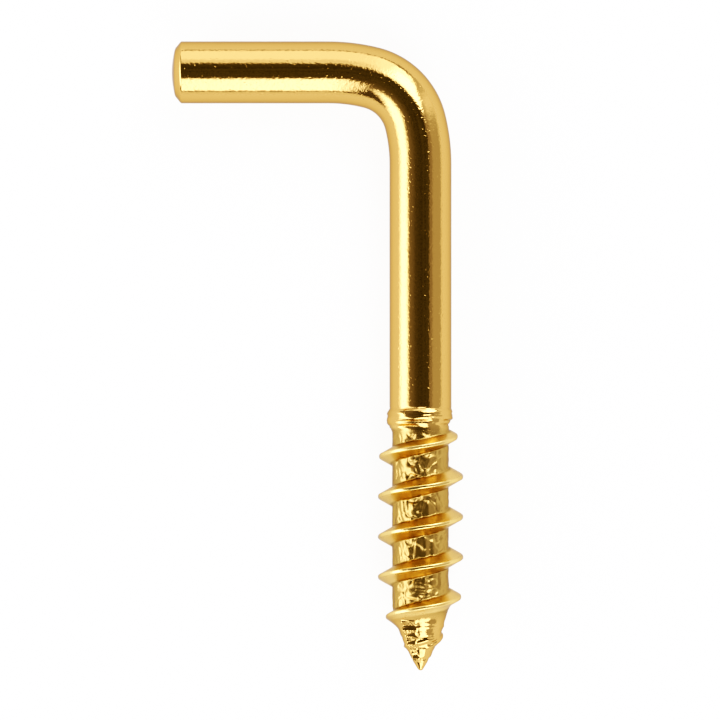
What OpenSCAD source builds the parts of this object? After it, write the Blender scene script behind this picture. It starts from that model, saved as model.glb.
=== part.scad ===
// Square-bend screw hook: one length of round wire, bent square at the top,
// with a coarse wood thread rolled on the lower end of the shank.
//
// The hook lies flat, with the wire's axis in the XY plane. The origin is on
// the shank's axis in the face of the wood that the hook is screwed into. The
// shank rises along +Y, the arm points to -X, and the thread runs down to the
// point at -Y.

/* [Wire] */
// Diameter of the wire
wire_d = 3; // [2.6:0.1:4]
// Radius of the square bend, at the wire's axis
bend_r = 3.5; // [2.6:0.1:5]

/* [Arm] */
// Reach of the arm, from the shank's axis to the crown of its end
arm_reach = 12; // [9:0.5:30]
// Height of the shallow crown on the arm's end
crown_h = 0.16; // [0.05:0.01:0.4]
// Width of the chamfer round the arm's end, seen along the arm
chamfer_w = 0.34; // [0.1:0.02:0.6]
// Length of the chamfer, along the arm
chamfer_l = 0.28; // [0.1:0.02:0.8]

/* [Shank] */
// Height of the arm's axis above the face of the wood
shank_len = 17.25; // [12:0.25:40]
// Length of the rolled swelling above the thread
collar_len = 0.95; // [0.6:0.05:1.6]
// How far the swelling stands out from the wire
collar_rise = 0.05; // [0.02:0.01:0.15]
// Length of the taper from the swelling down to the root of the thread
shoulder_len = 0.35; // [0.2:0.05:0.8]

/* [Thread] */
// Length of the thread, from the face of the wood to the tip
thread_len = 11.6; // [9:0.2:24]
// Distance from one turn to the next
pitch = 1.94; // [1.7:0.02:2.6]
// How far the crest stands above the wire's surface
crest_rise = 0.57; // [0.4:0.01:0.7]
// How far the root lies below the wire's surface
root_depth = 0.135; // [0.05:0.005:0.25]
// Radius of the rounded crest
crest_r = 0.1; // [0.06:0.01:0.14]
// Lean of each flank, from square to the axis
flank_angle = 28; // [22:1:32]
// Depth below the face of the wood at which the run-out starts
runout_depth = 1.55; // [1:0.05:2.5]
// Length over which the crest runs out into the wire
runout_len = 2.9; // [2:0.1:4]
// Depth of a crest on the side of the screw away from the arm
crest_depth = 2.24; // [2:0.02:3.8]

/* [Point] */
// Length of the tapered point
point_len = 3.1; // [2.4:0.1:4]
// Radius of the point's bowed side
ogive_r = 9; // [7:0.5:14]
// Radius of the rounded tip
tip_r = 0.15; // [0.1:0.01:0.25]
// Length of the nose over which the crest falls away towards the tip
nose_len = 3.5; // [2.8:0.1:5]
// Distance from the tip to where the nose closes
nose_gap = 1.1; // [0.8:0.05:1.8]

/* [Quality] */
// Sections in one turn of the thread
turn_steps = 36; // [24:4:48]

/* [Hidden] */
$fn = 96;

brass = [0.86, 0.66, 0.27];

wire_r = wire_d / 2;
root_r = wire_r - root_depth;
major_r = wire_r + crest_rise;

// Each straight length ends in a tenon of this radius and length, buried in
// the bend, so that the three join as one body.
tenon = wire_r / 2;

// The arm's end: a shallow dome inside a chamfer.
crown_r = wire_r - chamfer_w;
dome_r = (crown_r ^ 2 + crown_h ^ 2) / (2 * crown_h);
dome_steps = 8;

// Heights along the screw's own axis, with 0 in the face of the wood.
tip_z = -thread_len;
point_z = tip_z + point_len;
nose_z = tip_z + nose_gap;
collar_base_z = shoulder_len;
collar_top_z = collar_base_z + collar_len;
collar_steps = 8;

// The bowed side of the point is an arc through the end of the root, and it
// meets the tip's arc without an edge. Both are seen as [radius, height].
tip_centre = [0, tip_z + tip_r];
root_end = [root_r, point_z];
ogive_centre = circle_meet(tip_centre, ogive_r - tip_r, root_end, ogive_r);
ogive_top = angle_of(root_end - ogive_centre);
ogive_end = angle_of(tip_centre - ogive_centre);
ogive_steps = 12;
tip_steps = 5;

// How deep the foot of the ridge is buried in the root, so that they are one.
bury = 0.12;
crest_steps = 4;
// The ridge starts where its crest has sunk this far below the wire.
sunk = 0.04;
ridge_top_z = -runout_depth + runout_len * (1 + sunk / crest_rise);
ridge_end_z = nose_end_z(nose_z + nose_len, nose_z);

function angle_of(v) = atan2(v[1], v[0]);

// Points on an arc, from angle a0 to angle a1.
function arc(centre, r, a0, a1, steps) = [
    for (i = [0:steps]) let (a = a0 + (a1 - a0) * i / steps) centre + r * [cos(a), sin(a)]
];

// All the points of a list but the first.
function rest(points) = [for (i = [1:len(points) - 1]) points[i]];

// Where two circles cross, on the right-hand side of the line from p to q.
function circle_meet(p, rp, q, rq) =
    let (
        d = norm(q - p),
        along = (d ^ 2 + rp ^ 2 - rq ^ 2) / (2 * d),
        off = sqrt(rp ^ 2 - along ^ 2),
        u = (q - p) / d
    )
    p + along * u + off * [-u[1], u[0]];

// Radius of the root at height z, down to the tip.
function core_r(z) =
    z > point_z ? root_r
    : z > tip_centre[1] ? ogive_centre[0] + sqrt(ogive_r ^ 2 - (z - ogive_centre[1]) ^ 2)
    : 0;

// Radius of the crest at height z: a straight run-out into the wire at the
// top, a parallel stretch, and an elliptical nose above the tip.
function runout_r(z) = major_r - crest_rise * (z + runout_depth) / runout_len;
function nose_r(z) = major_r * sqrt(max(0, 1 - ((nose_z + nose_len - z) / nose_len) ^ 2));
function crest_radius(z) =
    z > -runout_depth ? runout_r(z) : z < nose_z + nose_len ? nose_r(z) : major_r;

// Height, by halving, at which the nose of the crest sinks below the root.
function nose_end_z(high, low, tries = 20) =
    tries == 0 ? low
    : let (mid = (high + low) / 2)
        nose_r(mid) > core_r(mid) - sunk ? nose_end_z(mid, low, tries - 1)
        : nose_end_z(high, mid, tries - 1);

// Half the width of the ridge at radius r, where its crest is at radius top.
function half_width(top, r) =
    (crest_r + (top - crest_r - r) * sin(flank_angle)) / cos(flank_angle);

// Radius of the ridge's foot at height z, where its crest is at radius top.
function foot_r(top, z) = min(core_r(z), top) - bury;

// Outline of the ridge at height z as [radius, height]: the lower foot, the
// rounded crest from one flank to the other, and the upper foot.
function ridge_outline(z) =
    let (
        top = crest_radius(z),
        half = half_width(top, foot_r(top, z)),
        turn = 90 - flank_angle
    )
    concat(
        [[foot_r(top, z - half), z - half]],
        arc([top - crest_r, z], crest_r, -turn, turn, crest_steps),
        [[foot_r(top, z + half), z + half]]
    );

module arm() {
    straight = arm_reach - bend_r;
    dome_centre = [0, straight - dome_r];
    rim = angle_of([crown_r, straight - crown_h] - dome_centre);
    color(brass)
        translate([-bend_r, shank_len, 0])
            rotate([0, -90, 0])
                rotate_extrude()
                    polygon(concat(
                        [[0, -tenon], [tenon, -tenon], [tenon, 0], [wire_r, 0]],
                        [[wire_r, straight - crown_h - chamfer_l]],
                        arc(dome_centre, dome_r, rim, 90, dome_steps)
                    ));
}

module bend() {
    color(brass)
        translate([-bend_r, shank_len - bend_r, 0])
            rotate_extrude(angle = 90)
                translate([bend_r, 0])
                    circle(r = wire_r);
}

// The shank, its swelling, the root of the thread and the point, as one turned
// outline from the bend down to the tip.
module core() {
    top = shank_len - bend_r;
    half = collar_len / 2;
    swell_r = (half ^ 2 + collar_rise ^ 2) / (2 * collar_rise);
    swell_centre = [wire_r + collar_rise - swell_r, collar_base_z + half];
    swell = asin(half / swell_r);
    color(brass)
        rotate_extrude()
            polygon(concat(
                [[0, top + tenon], [tenon, top + tenon], [tenon, top], [wire_r, top]],
                arc(swell_centre, swell_r, swell, -swell, collar_steps),
                [[root_r, 0]],
                arc(ogive_centre, ogive_r, ogive_top, ogive_end, ogive_steps),
                rest(arc(tip_centre, tip_r, ogive_end, -90, tip_steps))
            ));
}

// The right-hand ridge of the thread, swept down the helix from its run-out to
// the nose. Each section lies in a plane through the axis.
module ridge() {
    steps = ceil((ridge_top_z - ridge_end_z) / pitch * turn_steps);
    fall = (ridge_top_z - ridge_end_z) / steps;
    sections = [
        for (i = [0:steps])
            let (z = ridge_end_z + i * fall, a = 360 * (z + crest_depth) / pitch)
                [for (p = ridge_outline(z)) [p[0] * cos(a), p[0] * sin(a), p[1]]]
    ];
    n = len(sections[0]);
    color(brass)
        polyhedron(
            [for (s = sections) each s],
            concat(
                [[for (j = [n - 1:-1:0]) j]],
                [
                    for (i = [0:steps - 1], j = [0:n - 1])
                        let (a = i * n + j, b = i * n + (j + 1) % n)
                            each [[a, b, a + n], [b, b + n, a + n]]
                ],
                [[for (j = [0:n - 1]) steps * n + j]]
            )
        );
}

module screw_hook() {
    arm();
    bend();
    rotate([-90, 0, 0]) {
        core();
        ridge();
    }
}

screw_hook();
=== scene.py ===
"""Square-bend screw hook in polished brass, lying flat on a white table.

The hook is one piece of round wire. The mesh is made in millimetres, with the
wire's axis in the XY plane: the shank rises along +Y, the arm points to -X, and
the thread runs down to the point at -Y. It is shrunk to metres at the end.

Round the screw, an angle turns about +Y from +X towards -Z. Its side is the
cosine, 1 at the right of the screw and -1 at its left, and its front is 1 where
the screw faces up from the table and -1 underneath.
"""

import math

import bmesh
import bpy
from mathutils import Matrix, Vector, noise


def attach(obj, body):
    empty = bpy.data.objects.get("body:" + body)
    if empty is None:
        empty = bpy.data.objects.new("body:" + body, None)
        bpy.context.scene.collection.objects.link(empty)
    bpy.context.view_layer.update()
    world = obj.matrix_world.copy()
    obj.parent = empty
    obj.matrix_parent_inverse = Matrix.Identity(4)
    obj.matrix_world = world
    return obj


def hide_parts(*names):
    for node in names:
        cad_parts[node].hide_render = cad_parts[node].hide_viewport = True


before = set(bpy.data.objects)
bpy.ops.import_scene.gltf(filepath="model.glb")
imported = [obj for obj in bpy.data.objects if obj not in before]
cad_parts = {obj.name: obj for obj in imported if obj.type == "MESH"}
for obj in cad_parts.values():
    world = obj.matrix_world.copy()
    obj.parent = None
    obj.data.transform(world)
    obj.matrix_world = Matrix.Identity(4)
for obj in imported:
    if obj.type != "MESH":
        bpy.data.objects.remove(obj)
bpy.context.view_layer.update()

MM = 0.001

# Points of the mesh that are closer than this are the same, or at the same level.
NEAR = 1e-4

# The wire and its square bend. The bend tightens from a slack curve at each end.
WIRE_R = 1.5
ARM_Y = 17.25
ARM_END_X = -12.0
BEND_R = 2.91
EASE_R = 8.45
EASE_ANGLE = math.radians(14.13)
EASE_STEPS = 10
BEND_STEPS = 36
WIRE_RINGS = 8

# The arm's end: a chamfer and a shallow crown. The edge between the wire and the
# chamfer is rounded over a short length.
CROWN_H = 0.16
CHAMFER_W = 0.34
CHAMFER_L = 0.28
CROWN_RINGS = 12
CHAMFER_RINGS = 3
EDGE_L = 0.06

# The collar rolled above the thread. Its top edge is level. Its foot leans: it is
# higher at the right, where the bulge is a little smaller. Over the fade, its marks
# end above it and the root's marks set in below it.
COLLAR_TOP_Y = 1.06
COLLAR_FOOT_Y = 0.10
COLLAR_FOOT_LEAN = 0.20
COLLAR_R = 1.595
COLLAR_R_LEAN = -0.03
COLLAR_END_Y = COLLAR_FOOT_Y - COLLAR_FOOT_LEAN
COLLAR_FADE = 0.15

# The shares of the collar's height where its bulge starts and ends, and how far its
# two slopes are eased. The start is higher at the front.
COLLAR_SHOULDER = 0.36
COLLAR_SHOULDER_FRONT = 0.30
COLLAR_BRIM = 0.75
SHOULDER_EASE = 0.3
BRIM_EASE = 0.4

# The collar's level streaks, and its seams: each has its middle height, its lean,
# its depth and its half width. Along a seam the depth varies about its mean share,
# so that the seam is broken.
STREAK_DEPTH = 0.05
STREAK_FADE = 0.1
COLLAR_SEAMS = (
    (1.05, 0.0, 0.035, 0.035),
    (0.76, 0.05, 0.040, 0.055),
    (0.43, 0.03, 0.065, 0.040),
    (0.22, 0.03, 0.060, 0.040),
)
SEAM_MEAN = 0.7
SEAM_CHANGE = 1.6

# The right-hand thread. Its crest is rounded, with a narrow flat on top. The
# fillet at its foot is wide on the point, on the side towards the tip. At the top
# the crest runs out into the wire, and dives a little at the end.
ROOT_R = 1.365
MAJOR_R = 2.07
PITCH = 1.94
CREST_Y = -2.24
CREST_R = 0.08
CREST_FLAT = 0.045
FLANK = math.radians(28)
FILLET = 0.07
WIDE_FILLET = 0.55
WIDE_FILLET_Y = -8.2
WIDE_FILLET_FADE = 0.2
RUNOUT_Y = -1.55
RUNOUT_LEN = 2.9
RUNOUT_DIVE = 0.35

# The rows of the mesh in one pitch, its steps in one turn, and the height where
# the spun thread hands over to the plain wire.
TURN_STEPS = 192
CREST_ROWS = 5
FLANK_ROWS = 8
ROOT_ROWS = 14
THREAD_TOP_Y = 1.6

# The point: an ogive with a small round tip. The crest sinks over the nose's
# length, and the spun tube is cut off above the tip.
TIP_Y = -11.6
POINT_Y = -8.5
POINT_FADE = 0.5
OGIVE_R = 9.0
TIP_R = 0.15
NOSE_Y = -10.5
NOSE_LEN = 3.5
CUT_Y = -11.3
CUT_FADE = 0.3
TIP_RINGS = 8

# The last trace of the thread round the point, and the lathe marks near it: each
# has its middle height, its lean, its rise and its half width.
POINT_RINGS = (
    (-10.235, 0.235, 0.085, 0.11),
    (-9.50, 0.02, 0.014, 0.035),
    (-9.97, 0.03, -0.030, 0.035),
    (-10.50, 0.03, -0.030, 0.035),
    (-11.05, 0.03, -0.030, 0.040),
)

# The depth of the level streaks and of the small lumps between them.
POINT_STREAK = 0.028
POINT_LUMP = 0.015

# The left of the point is a flat, pressed in small steps. Its angles are counted
# from the front towards the left: it sets in at its start, which wanders, and fades
# out from its end to its foot. A step follows the ogive at level 0 and the screw's
# axis at level 1.
FLAT_TOP_Y = -9.1
FLAT_TOP_FADE = 0.2
FLAT_START = math.radians(8)
FLAT_START_FADE = 0.09
FLAT_WANDER = 0.30
FLAT_END = math.radians(42)
FLAT_FOOT = math.radians(50)
STEP_LENGTH = 0.38
STEP_SHIFT = 0.5
STEP_LEVEL = 0.65

# How much of the point's streaks and of its rings the flat wipes off.
FLAT_WIPE = 0.7
FLAT_RING_WIPE = 0.5

# The marks that the rolling dies leave in the root: raised patches with steep
# sides, bars that are upright in some places and level in others, and strokes. The
# upright bars are deeper at the left and the level ones at the right, and all the
# marks are shallow near both sides.
PATCH_RISE = 0.03
PATCH_SIDE = 0.2
BAR_RISE = 0.055
BAR_SIDE = 0.6
BAR_CHANGE = 2.5
STROKE_DEPTH = 0.035
STROKE_WIDTH = 0.09
SIDE_CALM = 0.75

# The marks on the ridge: nicks in its crest, and a slight wave that only lowers it.
CREST_NICK = 0.05
NICK_START = 0.12
NICK_WIDTH = 0.12
WAVE = 0.012
WAVE_TOP = 0.6

# Each kind of roughness: its lumps to a millimetre round the screw and along it,
# and the seed that sets where they fall. A seam's seed is its height times one
# number.
STREAKS = (1.3, 5.5, 7.0)
PATCHES = (1 / 0.42, 0.8 / 0.42, 3.0)
BAR_PLACES = (0.9, 0.7, 21.0)
UPRIGHT_BARS = (4.2, 1.1, 11.0)
LEVEL_BARS = (1.1, 4.4, 15.0)
STROKES = (1.9, 1.5, 31.0)
POINT_STREAKS = (1.2, 4.5, 50.0)
POINT_LUMPS = (3.5, 3.0, 60.0)
FLAT_STARTS = (0.3, 3.5, 95.0)
STEP_SHIFTS = (0.9, 0.9, 90.0)
NICKS = (2.2, 1.0, 70.0)
WAVES = (1.8, 1.8, 80.0)
SEAM_GAPS = (1.1, 1.0)
SEAM_SEED = 40


def circle_meet(p, rp, q, rq):
    """Where two circles cross, on the right-hand side of the line from p to q."""
    d = (q - p).length
    along = (d * d + rp * rp - rq * rq) / (2 * d)
    off = math.sqrt(rp * rp - along * along)
    u = (q - p) / d
    return p + along * u + off * Vector((-u.y, u.x))


TIP_CENTRE = Vector((0, TIP_Y + TIP_R))
OGIVE_CENTRE = circle_meet(TIP_CENTRE, OGIVE_R - TIP_R, Vector((ROOT_R, POINT_Y)), OGIVE_R)
TIP_MEET = (TIP_CENTRE - OGIVE_CENTRE).normalized() * TIP_R + TIP_CENTRE


def clamp(t):
    """The number, kept between 0 and 1."""
    return min(max(t, 0.0), 1.0)


def smooth_step(t):
    """0 below 0, 1 above 1, and a smooth climb between."""
    t = clamp(t)
    return t * t * (3 - 2 * t)


def eased(t, ease):
    """The same number from 0 to 1, with the two ends of the climb eased."""
    return (1 - ease) * t + ease * smooth_step(t)


def smooth_max(a, b, width):
    """The larger of a and b, with a fillet of that width where they cross."""
    h = max(width - abs(a - b), 0.0) / width
    return max(a, b) + h * h * width / 4


def groove(y, middle, width):
    """1 in the middle of a groove and 0 a little outside it."""
    return math.exp(-((y - middle) / width) ** 2)


def rough(side, front, y, round_scale, long_scale, seed):
    """Smooth noise on the screw, about -0.5 to 0.5, with that many lumps to a
    millimetre round it and along it."""
    return noise.noise(
        (side * ROOT_R * round_scale + seed, y * long_scale + seed, front * ROOT_R * round_scale)
    )


def core_r(y):
    """Radius of the thread's root and of the point."""
    if y > POINT_Y:
        return ROOT_R
    if y > TIP_MEET.y:
        return OGIVE_CENTRE.x + math.sqrt(OGIVE_R ** 2 - (y - OGIVE_CENTRE.y) ** 2)
    return math.sqrt(max(TIP_R ** 2 - (y - TIP_CENTRE.y) ** 2, 0.0))


def core_slope(y):
    """How fast the core widens up the screw."""
    reach = 0.1
    return (core_r(y + reach) - core_r(y - reach)) / (2 * reach)


def collar_r(side, front, y):
    """Radius of the wire, of the collar and of the root under it. The collar swells
    from the root, keeps its bulge to the brim and slopes in to the wire."""
    foot = COLLAR_FOOT_Y + COLLAR_FOOT_LEAN * side
    bulge = COLLAR_R + COLLAR_R_LEAN * side
    shoulder = COLLAR_SHOULDER + COLLAR_SHOULDER_FRONT * max(front, 0.0) ** 2
    t = (y - foot) / (COLLAR_TOP_Y - foot)
    if t < shoulder:
        t = max(t / shoulder, 0.0)
        return ROOT_R + (bulge - ROOT_R) * eased(t, SHOULDER_EASE)
    if t < COLLAR_BRIM:
        return bulge
    t = max((1 - t) / (1 - COLLAR_BRIM), 0.0)
    return WIRE_R + (bulge - WIRE_R) * eased(t, BRIM_EASE)


def collar_marks(side, front, y):
    """The collar's level streaks and its broken seams."""
    inside = smooth_step((COLLAR_TOP_Y - y) / STREAK_FADE)
    inside *= smooth_step((y - COLLAR_END_Y) / (2 * STREAK_FADE))
    rise = STREAK_DEPTH * rough(side, front, y, *STREAKS) * inside
    for middle, lean, depth, width in COLLAR_SEAMS:
        gaps = rough(side, front, middle, *SEAM_GAPS, middle * SEAM_SEED)
        share = clamp(SEAM_MEAN + SEAM_CHANGE * gaps)
        rise -= depth * share * groove(y, middle + lean * side, width)
    return rise


def root_marks(side, front, y):
    """The dies' patches, bars and strokes in the root."""
    patch = smooth_step(0.5 + rough(side, front, y, *PATCHES) / PATCH_SIDE)
    place = smooth_step(0.5 + BAR_CHANGE * rough(side, front, y, *BAR_PLACES))
    upright = (1 - BAR_SIDE * side) * place * rough(side, front, y, *UPRIGHT_BARS)
    level = (1 + BAR_SIDE * side) * (1 - place) * rough(side, front, y, *LEVEL_BARS)
    stroke = groove(rough(side, front, y, *STROKES), 0, STROKE_WIDTH)
    marks = PATCH_RISE * (patch - 0.5) + BAR_RISE * (upright + level) - STROKE_DEPTH * stroke
    return marks * (1 - SIDE_CALM * side ** 4)


def point_flat(side, front, y):
    """How much of the flat there is at a place on the point, from 0 to 1, and how
    far the flat and its steps lift the surface there."""
    turn = math.atan2(-side, front)
    start = FLAT_START + FLAT_WANDER * rough(side, front, y, *FLAT_STARTS)
    flat = smooth_step((turn - start) / FLAT_START_FADE)
    flat *= smooth_step((FLAT_FOOT - turn) / (FLAT_FOOT - FLAT_END))
    flat *= smooth_step((FLAT_TOP_Y - y) / FLAT_TOP_FADE)
    step = ((POINT_Y - y) / STEP_LENGTH + STEP_SHIFT * rough(side, front, y, *STEP_SHIFTS)) % 1
    rise = STEP_LEVEL * core_slope(y) * STEP_LENGTH * (step - 0.5)
    across = min(max(turn - start, 0.0), FLAT_END - start)
    rise += core_r(y) * (1 / math.cos(across) - 1)
    return flat, flat * rise


def point_marks(side, front, y):
    """The point's streaks, its flat, the last trace of the thread and the lathe marks."""
    streaks = POINT_STREAK * rough(side, front, y, *POINT_STREAKS)
    lumps = POINT_LUMP * rough(side, front, y, *POINT_LUMPS)
    flat, rise = point_flat(side, front, y)
    rise += (streaks + lumps) * (1 - FLAT_WIPE * flat)
    for middle, lean, height, width in POINT_RINGS:
        rise += height * (1 - FLAT_RING_WIPE * flat) * groove(y, middle + lean * side, width)
    return rise


def body_r(angle, y):
    """Radius of the hook's body under the ridge, with its marks."""
    side, front = math.cos(angle), -math.sin(angle)
    if y > COLLAR_TOP_Y + COLLAR_FADE:
        return WIRE_R
    if y > COLLAR_END_Y:
        return collar_r(side, front, y) + collar_marks(side, front, y)
    on_point = smooth_step((POINT_Y - y) / POINT_FADE)
    marks = (1 - on_point) * root_marks(side, front, y) if on_point < 1 else 0.0
    if on_point > 0:
        marks += on_point * point_marks(side, front, y)
    ends = smooth_step((COLLAR_END_Y - y) / COLLAR_FADE) * smooth_step((y - CUT_Y) / CUT_FADE)
    return core_r(y) + ends * marks


def crest_r(y):
    """Radius of the thread's crest: run-out at the top, nose above the tip."""
    if y > RUNOUT_Y:
        t = (y - RUNOUT_Y) / RUNOUT_LEN
        return MAJOR_R - (MAJOR_R - WIRE_R) * (t + RUNOUT_DIVE * t ** 4)
    if y < NOSE_Y + NOSE_LEN:
        t = (NOSE_Y + NOSE_LEN - y) / NOSE_LEN
        return MAJOR_R * math.sqrt(max(0.0, 1 - t * t))
    return MAJOR_R


def ridge_r(top, offset):
    """Radius of the ridge at an offset along the screw from its crest."""
    offset = max(abs(offset) - CREST_FLAT / 2, 0.0)
    if offset < CREST_R * math.cos(FLANK):
        return top - CREST_R + math.sqrt(CREST_R ** 2 - offset ** 2)
    return top - CREST_R + (CREST_R - offset * math.cos(FLANK)) / math.sin(FLANK)


def ridge_marks(angle, y, offset):
    """How far the nicks and the wave lower the ridge."""
    side, front = math.cos(angle), -math.sin(angle)
    nick = max(rough(side, front, y - offset, *NICKS) - NICK_START, 0.0)
    wave = WAVE_TOP - rough(side, front, y, *WAVES)
    return CREST_NICK * nick * groove(offset, 0, NICK_WIDTH) + WAVE * wave


def screw_r(angle, y):
    """Radius of the screw at an angle and a height."""
    turns = (y - CREST_Y) / PITCH - angle / (2 * math.pi)
    offset = (turns - round(turns)) * PITCH
    ridge = ridge_r(crest_r(y - offset), offset)
    if ridge > ROOT_R:
        ridge -= ridge_marks(angle, y, offset)
    below = smooth_step(-offset / WIDE_FILLET_FADE) * smooth_step((WIDE_FILLET_Y - y) / POINT_FADE)
    return smooth_max(body_r(angle, y), ridge, FILLET + (WIDE_FILLET - FILLET) * below)


def row_offsets():
    """Heights of the mesh rows in one pitch, from one root to the next: close
    together over the crest, then down each flank, then across the root."""
    flat = CREST_FLAT / 2
    edge = flat + CREST_R * math.cos(FLANK)
    foot = flat + (CREST_R + (MAJOR_R - CREST_R - ROOT_R) * math.sin(FLANK)) / math.cos(FLANK)
    half = []
    for i in range(CREST_ROWS + 1):
        half.append(flat + CREST_R * math.sin(i / CREST_ROWS * (math.pi / 2 - FLANK)))
    for i in range(1, FLANK_ROWS + 1):
        half.append(edge + (foot - edge) * i / FLANK_ROWS)
    for i in range(1, ROOT_ROWS):
        half.append(foot + (PITCH / 2 - foot) * i / ROOT_ROWS)
    return [-PITCH / 2] + [-h for h in reversed(half)] + [0.0] + half


def spin_thread(bm):
    """Spins one upright row of points round the screw's axis. Each step climbs a
    little, so that the rows of faces follow the thread. The row reaches past both
    places where the tube is cut level."""
    heights = []
    turns = range(math.floor((CUT_Y - CREST_Y) / PITCH) - 2, math.ceil(-CREST_Y / PITCH) + 2)
    for turn in turns:
        heights += [CREST_Y + turn * PITCH + offset for offset in row_offsets()]
    row = [bm.verts.new((WIRE_R, y, 0)) for y in heights]
    edges = [bm.edges.new(pair) for pair in zip(row, row[1:])]
    bmesh.ops.spin(
        bm, geom=row + edges, cent=(0, 0, 0), axis=(0, 1, 0), dvec=(0, PITCH / TURN_STEPS, 0),
        angle=2 * math.pi, steps=TURN_STEPS, use_merge=False, use_duplicate=False,
    )
    bmesh.ops.remove_doubles(bm, verts=bm.verts[:], dist=NEAR)


def cut_level(bm, y, above):
    """Cuts the tube level at y and drops the part above, or below, then leaves
    one point for each step of the turn in the cut edge."""
    bmesh.ops.bisect_plane(
        bm, geom=bm.verts[:] + bm.edges[:] + bm.faces[:], dist=1e-5,
        plane_co=(0, y, 0), plane_no=(0, 1, 0), clear_outer=above, clear_inner=not above,
    )
    step = 2 * math.pi / TURN_STEPS
    stray = []
    for v in bm.verts:
        if abs(v.co.y - y) < NEAR:
            turn = math.atan2(-v.co.z, v.co.x) / step
            if abs(turn - round(turn)) > 0.01:
                stray.append(v)
    bmesh.ops.dissolve_verts(bm, verts=stray)


def shape_thread(bm):
    """Moves every point of the spun tube out or in to the screw's surface."""
    for v in bm.verts:
        angle = math.atan2(-v.co.z, v.co.x)
        r = screw_r(angle, v.co.y)
        v.co.x = r * math.cos(angle)
        v.co.z = -r * math.sin(angle)


def ring_edges(bm, y):
    """The open edges of the tube at a level."""
    return [e for e in bm.edges if e.is_boundary and all(abs(v.co.y - y) < NEAR for v in e.verts)]


def ring_verts(edges):
    """The points of a ring, each once."""
    return list(dict.fromkeys(v for e in edges for v in e.verts))


def pull(bm, edges, move):
    """Extrudes a ring and moves the new one."""
    made = bmesh.ops.extrude_edge_only(bm, edges=edges)["geom"]
    verts = [g for g in made if isinstance(g, bmesh.types.BMVert)]
    bmesh.ops.translate(bm, verts=verts, vec=move)
    return [g for g in made if isinstance(g, bmesh.types.BMEdge)]


def shrink(bm, edges, centre, move, factor):
    """Extrudes a ring, moves the new one and scales it about the wire's axis."""
    edges = pull(bm, edges, move)
    space = Matrix.Translation(-(Vector(centre) + Vector(move)))
    bmesh.ops.scale(bm, verts=ring_verts(edges), vec=(factor, factor, factor), space=space)
    return edges


def bend(bm, edges, centre, angle, steps):
    """Spins a ring about an upright line through centre."""
    made = bmesh.ops.spin(
        bm, geom=ring_verts(edges) + edges, cent=centre, axis=(0, 0, 1), dvec=(0, 0, 0),
        angle=angle, steps=steps, use_merge=False, use_duplicate=False,
    )["geom_last"]
    return [g for g in made if isinstance(g, bmesh.types.BMEdge)]


def close_end(bm, edges, centre, axis, profile):
    """Closes a ring with more rings and a point, each given as its advance along
    the axis and its radius. The first is the ring itself and the last the point."""
    centre = Vector(centre)
    axis = Vector(axis)
    last_advance, last_radius = profile[0]
    for advance, radius in profile[1:-1]:
        move = axis * (advance - last_advance)
        edges = shrink(bm, edges, centre, move, radius / last_radius)
        centre += move
        last_advance, last_radius = advance, radius
    move = axis * (profile[-1][0] - last_advance)
    edges = pull(bm, edges, move)
    bmesh.ops.pointmerge(bm, verts=ring_verts(edges), merge_co=centre + move)


def tip_profile():
    """The rings from the cut down the rest of the ogive and over the round tip."""
    profile = [(0.0, core_r(CUT_Y))]
    for i in range(1, TIP_RINGS + 1):
        y = CUT_Y + (TIP_MEET.y - CUT_Y) * i / TIP_RINGS
        profile.append((CUT_Y - y, core_r(y)))
    meet = math.atan2(TIP_MEET.y - TIP_CENTRE.y, TIP_MEET.x)
    for i in range(1, TIP_RINGS + 1):
        a = meet + (-math.pi / 2 - meet) * i / TIP_RINGS
        profile.append((CUT_Y - TIP_CENTRE.y - TIP_R * math.sin(a), TIP_R * math.cos(a)))
    return profile


def arm_end_profile():
    """The rings down the chamfer and over the crown. No ring is on an edge, so that
    smooth shading rounds both edges a little."""
    rim = WIRE_R - CHAMFER_W
    crown_radius = (rim ** 2 + CROWN_H ** 2) / (2 * CROWN_H)
    profile = [(0.0, WIRE_R), (EDGE_L / 2, WIRE_R)]
    for i in range(CHAMFER_RINGS + 1):
        t = (i + 0.5) / (CHAMFER_RINGS + 1)
        profile.append((EDGE_L + CHAMFER_L * t, WIRE_R - CHAMFER_W * t))
    for i in range(CROWN_RINGS - 1, -1, -1):
        r = rim * (i + 0.7) / CROWN_RINGS if i else 0
        rise = math.sqrt(crown_radius ** 2 - r ** 2) - crown_radius + CROWN_H
        profile.append((EDGE_L + CHAMFER_L + rise, r))
    return profile


def draw_wire(bm, edges):
    """Pulls the ring at the thread's top up the shank, spins it round the bend, pulls
    it along the arm and closes the arm's end."""
    tangent = EASE_R - (EASE_R - BEND_R) * (math.cos(EASE_ANGLE) - math.sin(EASE_ANGLE))
    shank_length = ARM_Y - tangent - THREAD_TOP_Y
    for _ in range(WIRE_RINGS):
        edges = pull(bm, edges, (0, shank_length / WIRE_RINGS, 0))
    low = Vector((-EASE_R, ARM_Y - tangent, 0))
    middle = low + Vector((math.cos(EASE_ANGLE), math.sin(EASE_ANGLE), 0)) * (EASE_R - BEND_R)
    high = Vector((-tangent, ARM_Y - EASE_R, 0))
    edges = bend(bm, edges, low, EASE_ANGLE, EASE_STEPS)
    edges = bend(bm, edges, middle, math.pi / 2 - 2 * EASE_ANGLE, BEND_STEPS)
    edges = bend(bm, edges, high, EASE_ANGLE, EASE_STEPS)
    end_x = ARM_END_X + CROWN_H + CHAMFER_L + EDGE_L
    for _ in range(WIRE_RINGS):
        edges = pull(bm, edges, ((end_x + tangent) / WIRE_RINGS, 0, 0))
    close_end(bm, edges, (end_x, ARM_Y, 0), (-1, 0, 0), arm_end_profile())


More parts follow.
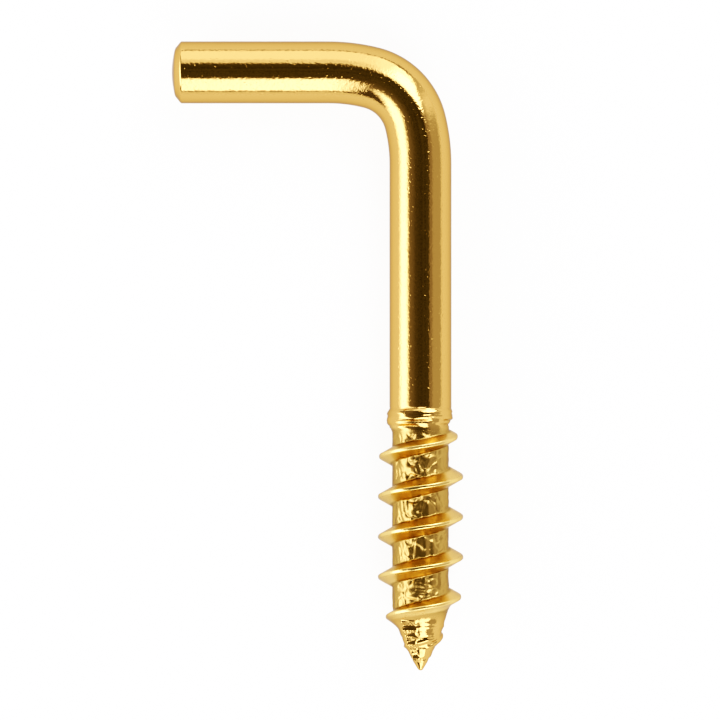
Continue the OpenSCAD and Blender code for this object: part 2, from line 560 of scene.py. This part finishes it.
def hook_mesh():
    """The whole hook as one closed mesh, in metres."""
    bm = bmesh.new()
    spin_thread(bm)
    cut_level(bm, THREAD_TOP_Y, above=True)
    cut_level(bm, CUT_Y, above=False)
    shape_thread(bm)
    close_end(bm, ring_edges(bm, CUT_Y), (0, CUT_Y, 0), (0, -1, 0), tip_profile())
    draw_wire(bm, ring_edges(bm, THREAD_TOP_Y))
    bmesh.ops.recalc_face_normals(bm, faces=bm.faces[:])
    bmesh.ops.scale(bm, verts=bm.verts[:], vec=(MM, MM, MM))
    mesh = bpy.data.meshes.new("polished_hook")
    bm.to_mesh(mesh)
    bm.free()
    mesh.shade_smooth()
    return mesh


def node(tree, kind, **values):
    """A shader node with its settings, and its inputs given by name or number."""
    made = tree.nodes.new(kind)
    inputs = values.pop("inputs", {})
    for name, value in values.items():
        setattr(made, name, value)
    for name, value in inputs.items():
        if isinstance(value, bpy.types.NodeSocket):
            tree.links.new(value, made.inputs[name])
        else:
            made.inputs[name].default_value = value
    return made


def ramp(tree, value, low, high):
    """0 where the value is at the low mark and 1 where it is at the high one."""
    return node(
        tree, "ShaderNodeMapRange", inputs={"Value": value, "From Min": low, "From Max": high}
    ).outputs["Result"]


def mix(tree, factor, a, b):
    """The number a where the factor is 0, and b where it is 1."""
    return node(tree, "ShaderNodeMix", inputs={0: factor, 2: a, 3: b}).outputs[0]


def mix_colour(tree, factor, a, b):
    """The colour a where the factor is 0, and b where it is 1."""
    return node(
        tree, "ShaderNodeMix", data_type="RGBA", inputs={0: factor, 6: a, 7: b}
    ).outputs[2]


def product(tree, a, b):
    """The product of two numbers."""
    return node(tree, "ShaderNodeMath", operation="MULTIPLY", inputs={0: a, 1: b}).outputs[0]


# The finish. The thread is duller than the wire and the point, and changes to them
# between two heights at each end. In the thread the root turns into the flanks, and
# the flanks into the bright crest, between two radii. The root's colour is darker
# than the wire's, a painted shade of the recess between the ridges, and the ridges'
# colour is brighter and paler, a painted light on the flanks and crest. At a glancing
# angle the metal reflects the tint's share of its colour.
WIRE_COLOUR = (0.60, 0.371, 0.141, 1)
ROOT_COLOUR_PAINTED_SHADE = (0.43, 0.276, 0.104, 1)
RIDGE_COLOUR_PAINTED_LIGHT = (0.76, 0.53, 0.22, 1)
GLANCING_TINT = (0.54, 0.50, 0.50, 1)
WIRE_ROUGHNESS = 0.07
ROOT_ROUGHNESS = 0.28
RIDGE_ROUGHNESS = 0.30
CREST_ROUGHNESS = 0.05
THREAD_FINISH_Y = (-0.1, 0.3)
POINT_FINISH_Y = (-9.3, -8.7)
RIDGE_FINISH_R = (ROOT_R + 0.05, ROOT_R + 0.15)
CREST_FINISH_R = (MAJOR_R - 0.12, MAJOR_R - 0.05)

# The metal's fine grain and its rare pits: their lumps to a metre, and their depth
# in metres. A pit is where the noise climbs the ramp.
GRAIN_SCALE = 6000.0
GRAIN_DEPTH = 6.5e-6
PIT_SCALE = 9000.0
PIT_DEPTH = 3.5e-6
PIT_RAMP = (0.72, 0.84)


def brass():
    """Polished brass: bright on the wire, and duller in the thread, with a darker colour
    for painted shade in its root and a brighter, paler colour for painted light on its
    ridges.
    """
    material = bpy.data.materials.new("polished_brass")
    material.use_nodes = True
    tree = material.node_tree
    shader = tree.nodes["Principled BSDF"]
    shader.inputs["Metallic"].default_value = 1.0
    shader.inputs["Specular Tint"].default_value = GLANCING_TINT
    place = node(tree, "ShaderNodeTexCoord").outputs["Object"]

    # Where the metal is thread, and where that is ridge and crest.
    height = node(tree, "ShaderNodeSeparateXYZ", inputs={"Vector": place}).outputs["Y"]
    level = node(
        tree, "ShaderNodeVectorMath", operation="MULTIPLY", inputs={0: place, 1: (1, 0, 1)}
    ).outputs["Vector"]
    radius = node(
        tree, "ShaderNodeVectorMath", operation="LENGTH", inputs={0: level}
    ).outputs["Value"]
    ridge = ramp(tree, radius, RIDGE_FINISH_R[0] * MM, RIDGE_FINISH_R[1] * MM)
    crest = ramp(tree, radius, CREST_FINISH_R[0] * MM, CREST_FINISH_R[1] * MM)
    below_collar = ramp(tree, height, THREAD_FINISH_Y[1] * MM, THREAD_FINISH_Y[0] * MM)
    above_point = ramp(tree, height, POINT_FINISH_Y[0] * MM, POINT_FINISH_Y[1] * MM)
    thread = product(tree, above_point, below_collar)

    # Painted shade: the root's darker colour. Painted light: the ridges' brighter, paler colour.
    colour = mix_colour(tree, ridge, ROOT_COLOUR_PAINTED_SHADE, RIDGE_COLOUR_PAINTED_LIGHT)
    colour = mix_colour(tree, thread, WIRE_COLOUR, colour)
    tree.links.new(colour, shader.inputs["Base Color"])
    roughness = mix(tree, ridge, ROOT_ROUGHNESS, RIDGE_ROUGHNESS)
    roughness = mix(tree, crest, roughness, CREST_ROUGHNESS)
    roughness = mix(tree, thread, WIRE_ROUGHNESS, roughness)
    tree.links.new(roughness, shader.inputs["Roughness"])

    grain = node(
        tree, "ShaderNodeTexNoise",
        inputs={"Vector": place, "Scale": GRAIN_SCALE, "Detail": 2.0, "Roughness": 0.65},
    )
    grained = node(
        tree, "ShaderNodeBump",
        inputs={"Height": grain.outputs["Fac"], "Distance": GRAIN_DEPTH},
    )
    specks = node(
        tree, "ShaderNodeTexNoise",
        inputs={"Vector": place, "Scale": PIT_SCALE, "Detail": 0.0},
    )
    pits = ramp(tree, specks.outputs["Fac"], *PIT_RAMP)
    pitted = node(
        tree, "ShaderNodeBump", invert=True,
        inputs={"Height": pits, "Distance": PIT_DEPTH, "Normal": grained.outputs["Normal"]},
    )
    tree.links.new(pitted.outputs["Normal"], shader.inputs["Normal"])
    return material


# The studio, as seen from the hook. A direction is [degrees from straight up,
# degrees round from +X]. The ceiling is dark and slightly uneven round its middle,
# and a little lighter from there out to the panels.
CEILING = ((0.062, 0.067, 0.062, 1), (0.118, 0.127, 0.118, 1))
CEILING_PATCHES = 16.0
CEILING_RAMP = (0.35, 0.65)
CEILING_MIDDLE = (12, 25)
CEILING_RIM = 0.19
RIM_START = 0.985
RIM_END = 0.643

# Each softbox, card, wall or glow: its corners in order, its brightness, and the
# softness of its edges in degrees. A later one covers those before it.
PANELS = {
    "wall": (((54, -60), (100, -60), (100, 0), (100, 50), (75, 50), (38, 28)), 0.45, 2.5),
    "wall_glow": (((52, 18), (100, 20), (100, 34), (62, 35), (50, 28)), 0.78, 6),
    "right_card": (((50, -60), (84.7, -60), (79.6, 14), (35.5, 16)), 0.375, 2.5),
    "right_top": (((50, -60), (60, -60), (46, 18), (35.5, 18)), 0.24, 5),
    "back": (
        (
            (35, 23), (77, 48), (83, 62), (87, 75), (87, 130),
            (48, 130), (32.5, 90), (25, 60), (25.5, 40),
        ), 1.12, 2.5,
    ),
    "back_top": (
        (
            (35, 23), (51, 60), (48, 90), (53, 130),
            (48, 130), (32.5, 90), (25, 60), (25.5, 40),
        ), 0.8, 6,
    ),
    "back_side": (((36, 23), (77, 48), (83, 62), (87, 76), (26, 75), (26, 40)), 1.37, 4),
    "back_glow": (((36, 23), (77, 48), (81, 61), (26, 66), (25, 40)), 2.1, 3),
    "back_lamp": (((34, 22), (66, 44), (62, 58), (33, 60), (31, 40)), 3.0, 3.5),
    "gap": (((50, 246), (86, 222), (84, 266), (52, 266)), 0.11, 3),
    "left": (((78.3, 140), (42, 251), (51, 250), (87, 219), (105, 203), (105, 140)), 1.05, 5),
    "left_lamp": (((69.2, 150), (47, 239), (64, 228), (81, 211), (80, 150)), 2.45, 8),
    "front": (((27, 261), (42, 256), (56, 257.3), (73, 262), (76.5, 310), (30, 310)), 1.25, 2.5),
    "front_lamp": (((26, 264), (73, 266), (76.5, 310), (31, 310)), 2.15, 4.5),
}

# The table is white and glows a little, so that it stays white all round. The
# studio is about as bright up to a soft, slanted edge, which is a little above the
# table's level on the side away from the back softbox. The rise is the direction
# square to that edge.
TABLE_SIZE = 3.0
TABLE_WHITE = 0.24
TABLE_GLOW = 0.52
TABLE_RISE = (-0.052, 0.115, 1.0)
TABLE_EDGE = 0.085
TABLE_BLUR = 0.045
TABLE_LIGHT = 0.70


def grey(brightness):
    """A grey as a colour."""
    return (brightness, brightness, brightness, 1)


def direction(corner):
    """A direction as a unit vector."""
    up, turn = (math.radians(a) for a in corner)
    return Vector((math.sin(up) * math.cos(turn), math.sin(up) * math.sin(turn), math.cos(up)))


def soft_edge(tree, look, across, low, high):
    """0 where the look along a vector is below low, and 1 where it is above high."""
    reach = node(
        tree, "ShaderNodeVectorMath", operation="DOT_PRODUCT", inputs={0: look, 1: across}
    )
    edge = node(
        tree, "ShaderNodeMapRange", interpolation_type="SMOOTHSTEP",
        inputs={"Value": reach.outputs["Value"], "From Min": low, "From Max": high},
    )
    return edge.outputs["Result"]


def panel_mask(tree, look, corners, blur):
    """1 inside the panel and 0 outside it: the product of its soft edges."""
    points = [direction(c) for c in corners]
    centre = sum(points, Vector())
    mask = None
    for p, q in zip(points, points[1:] + points[:1]):
        across = p.cross(q).normalized()
        if across.dot(centre) < 0:
            across = -across
        edge = soft_edge(tree, look, across, -math.sin(blur), math.sin(blur))
        mask = product(tree, mask, edge) if mask else edge
    return mask


def studio():
    """The light that comes from each direction: the ceiling, the panels in front of
    it and the table in front of them."""
    world = bpy.data.worlds.new("studio")
    bpy.context.scene.world = world
    world.use_nodes = True
    tree = world.node_tree
    look = node(tree, "ShaderNodeTexCoord").outputs["Generated"]
    patches = node(
        tree, "ShaderNodeTexNoise", inputs={"Vector": look, "Scale": CEILING_PATCHES, "Detail": 2.0}
    ).outputs["Fac"]
    ceiling = mix_colour(tree, ramp(tree, patches, *CEILING_RAMP), *CEILING)
    middle = soft_edge(tree, look, direction(CEILING_MIDDLE), RIM_END, RIM_START)
    light = mix_colour(tree, middle, grey(CEILING_RIM), ceiling)
    for corners, brightness, blur in PANELS.values():
        mask = panel_mask(tree, look, corners, math.radians(blur))
        light = mix_colour(tree, mask, light, grey(brightness))
    above = soft_edge(tree, look, TABLE_RISE, TABLE_EDGE - TABLE_BLUR, TABLE_EDGE + TABLE_BLUR)
    light = mix_colour(tree, above, grey(TABLE_LIGHT), light)
    tree.links.new(light, tree.nodes["Background"].inputs["Color"])


def table():
    """The white table, level with the bottom of the thread."""
    bm = bmesh.new()
    bmesh.ops.create_grid(bm, x_segments=1, y_segments=1, size=TABLE_SIZE)
    bmesh.ops.translate(bm, verts=bm.verts[:], vec=(0, 0, -MAJOR_R * MM))
    mesh = bpy.data.meshes.new("table")
    bm.to_mesh(mesh)
    bm.free()
    floor = bpy.data.objects.new("table", mesh)
    bpy.context.scene.collection.objects.link(floor)
    material = bpy.data.materials.new("white_table")
    material.use_nodes = True
    shader = material.node_tree.nodes["Principled BSDF"]
    shader.inputs["Base Color"].default_value = grey(TABLE_WHITE)
    shader.inputs["Roughness"].default_value = 1.0
    shader.inputs["Specular IOR Level"].default_value = 0.0
    shader.inputs["Emission Color"].default_value = grey(1)
    shader.inputs["Emission Strength"].default_value = TABLE_GLOW
    mesh.materials.append(material)


# The camera looks straight down from 0.4 m, through a long lens.
CAMERA_PLACE = (-0.002918, 0.003376, 0.4)
CAMERA_SENSOR = 36.0
CAMERA_LENS = 414.6
CAMERA_NEAR = 0.01

# Its tone curve has deep shadows and bright middles. It runs from (0, 0) through
# these points to (1, 1).
TONE = (
    (0.01, 0.0004), (0.0196, 0.0039), (0.0331, 0.0152), (0.0732, 0.0839), (0.116, 0.1892),
    (0.1706, 0.3308), (0.2379, 0.4753), (0.3185, 0.6184), (0.4132, 0.761), (0.5225, 0.88),
    (0.62, 0.96), (0.69, 0.992),
)


def set_camera():
    """Makes the camera and gives it to the scene."""
    camera = bpy.data.objects.new("camera", bpy.data.cameras.new("camera"))
    camera.data.sensor_width = CAMERA_SENSOR
    camera.data.lens = CAMERA_LENS
    camera.data.clip_start = CAMERA_NEAR
    camera.location = CAMERA_PLACE
    bpy.context.scene.collection.objects.link(camera)
    bpy.context.scene.camera = camera


def set_tone():
    """Puts the tone curve on all three colours together."""
    view = bpy.context.scene.view_settings
    view.view_transform = "Standard"
    view.use_curve_mapping = True
    curve = view.curve_mapping.curves[3]
    for place, value in TONE:
        curve.points.new(place, value)
    curve.points[-1].handle_type = "VECTOR"
    view.curve_mapping.extend = "HORIZONTAL"
    view.curve_mapping.update()


hook = bpy.data.objects.new("polished_hook", hook_mesh())
bpy.context.scene.collection.objects.link(hook)
hook.data.materials.append(brass())
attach(hook, "root")
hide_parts("screw_hook")

studio()
table()
set_camera()
set_tone()
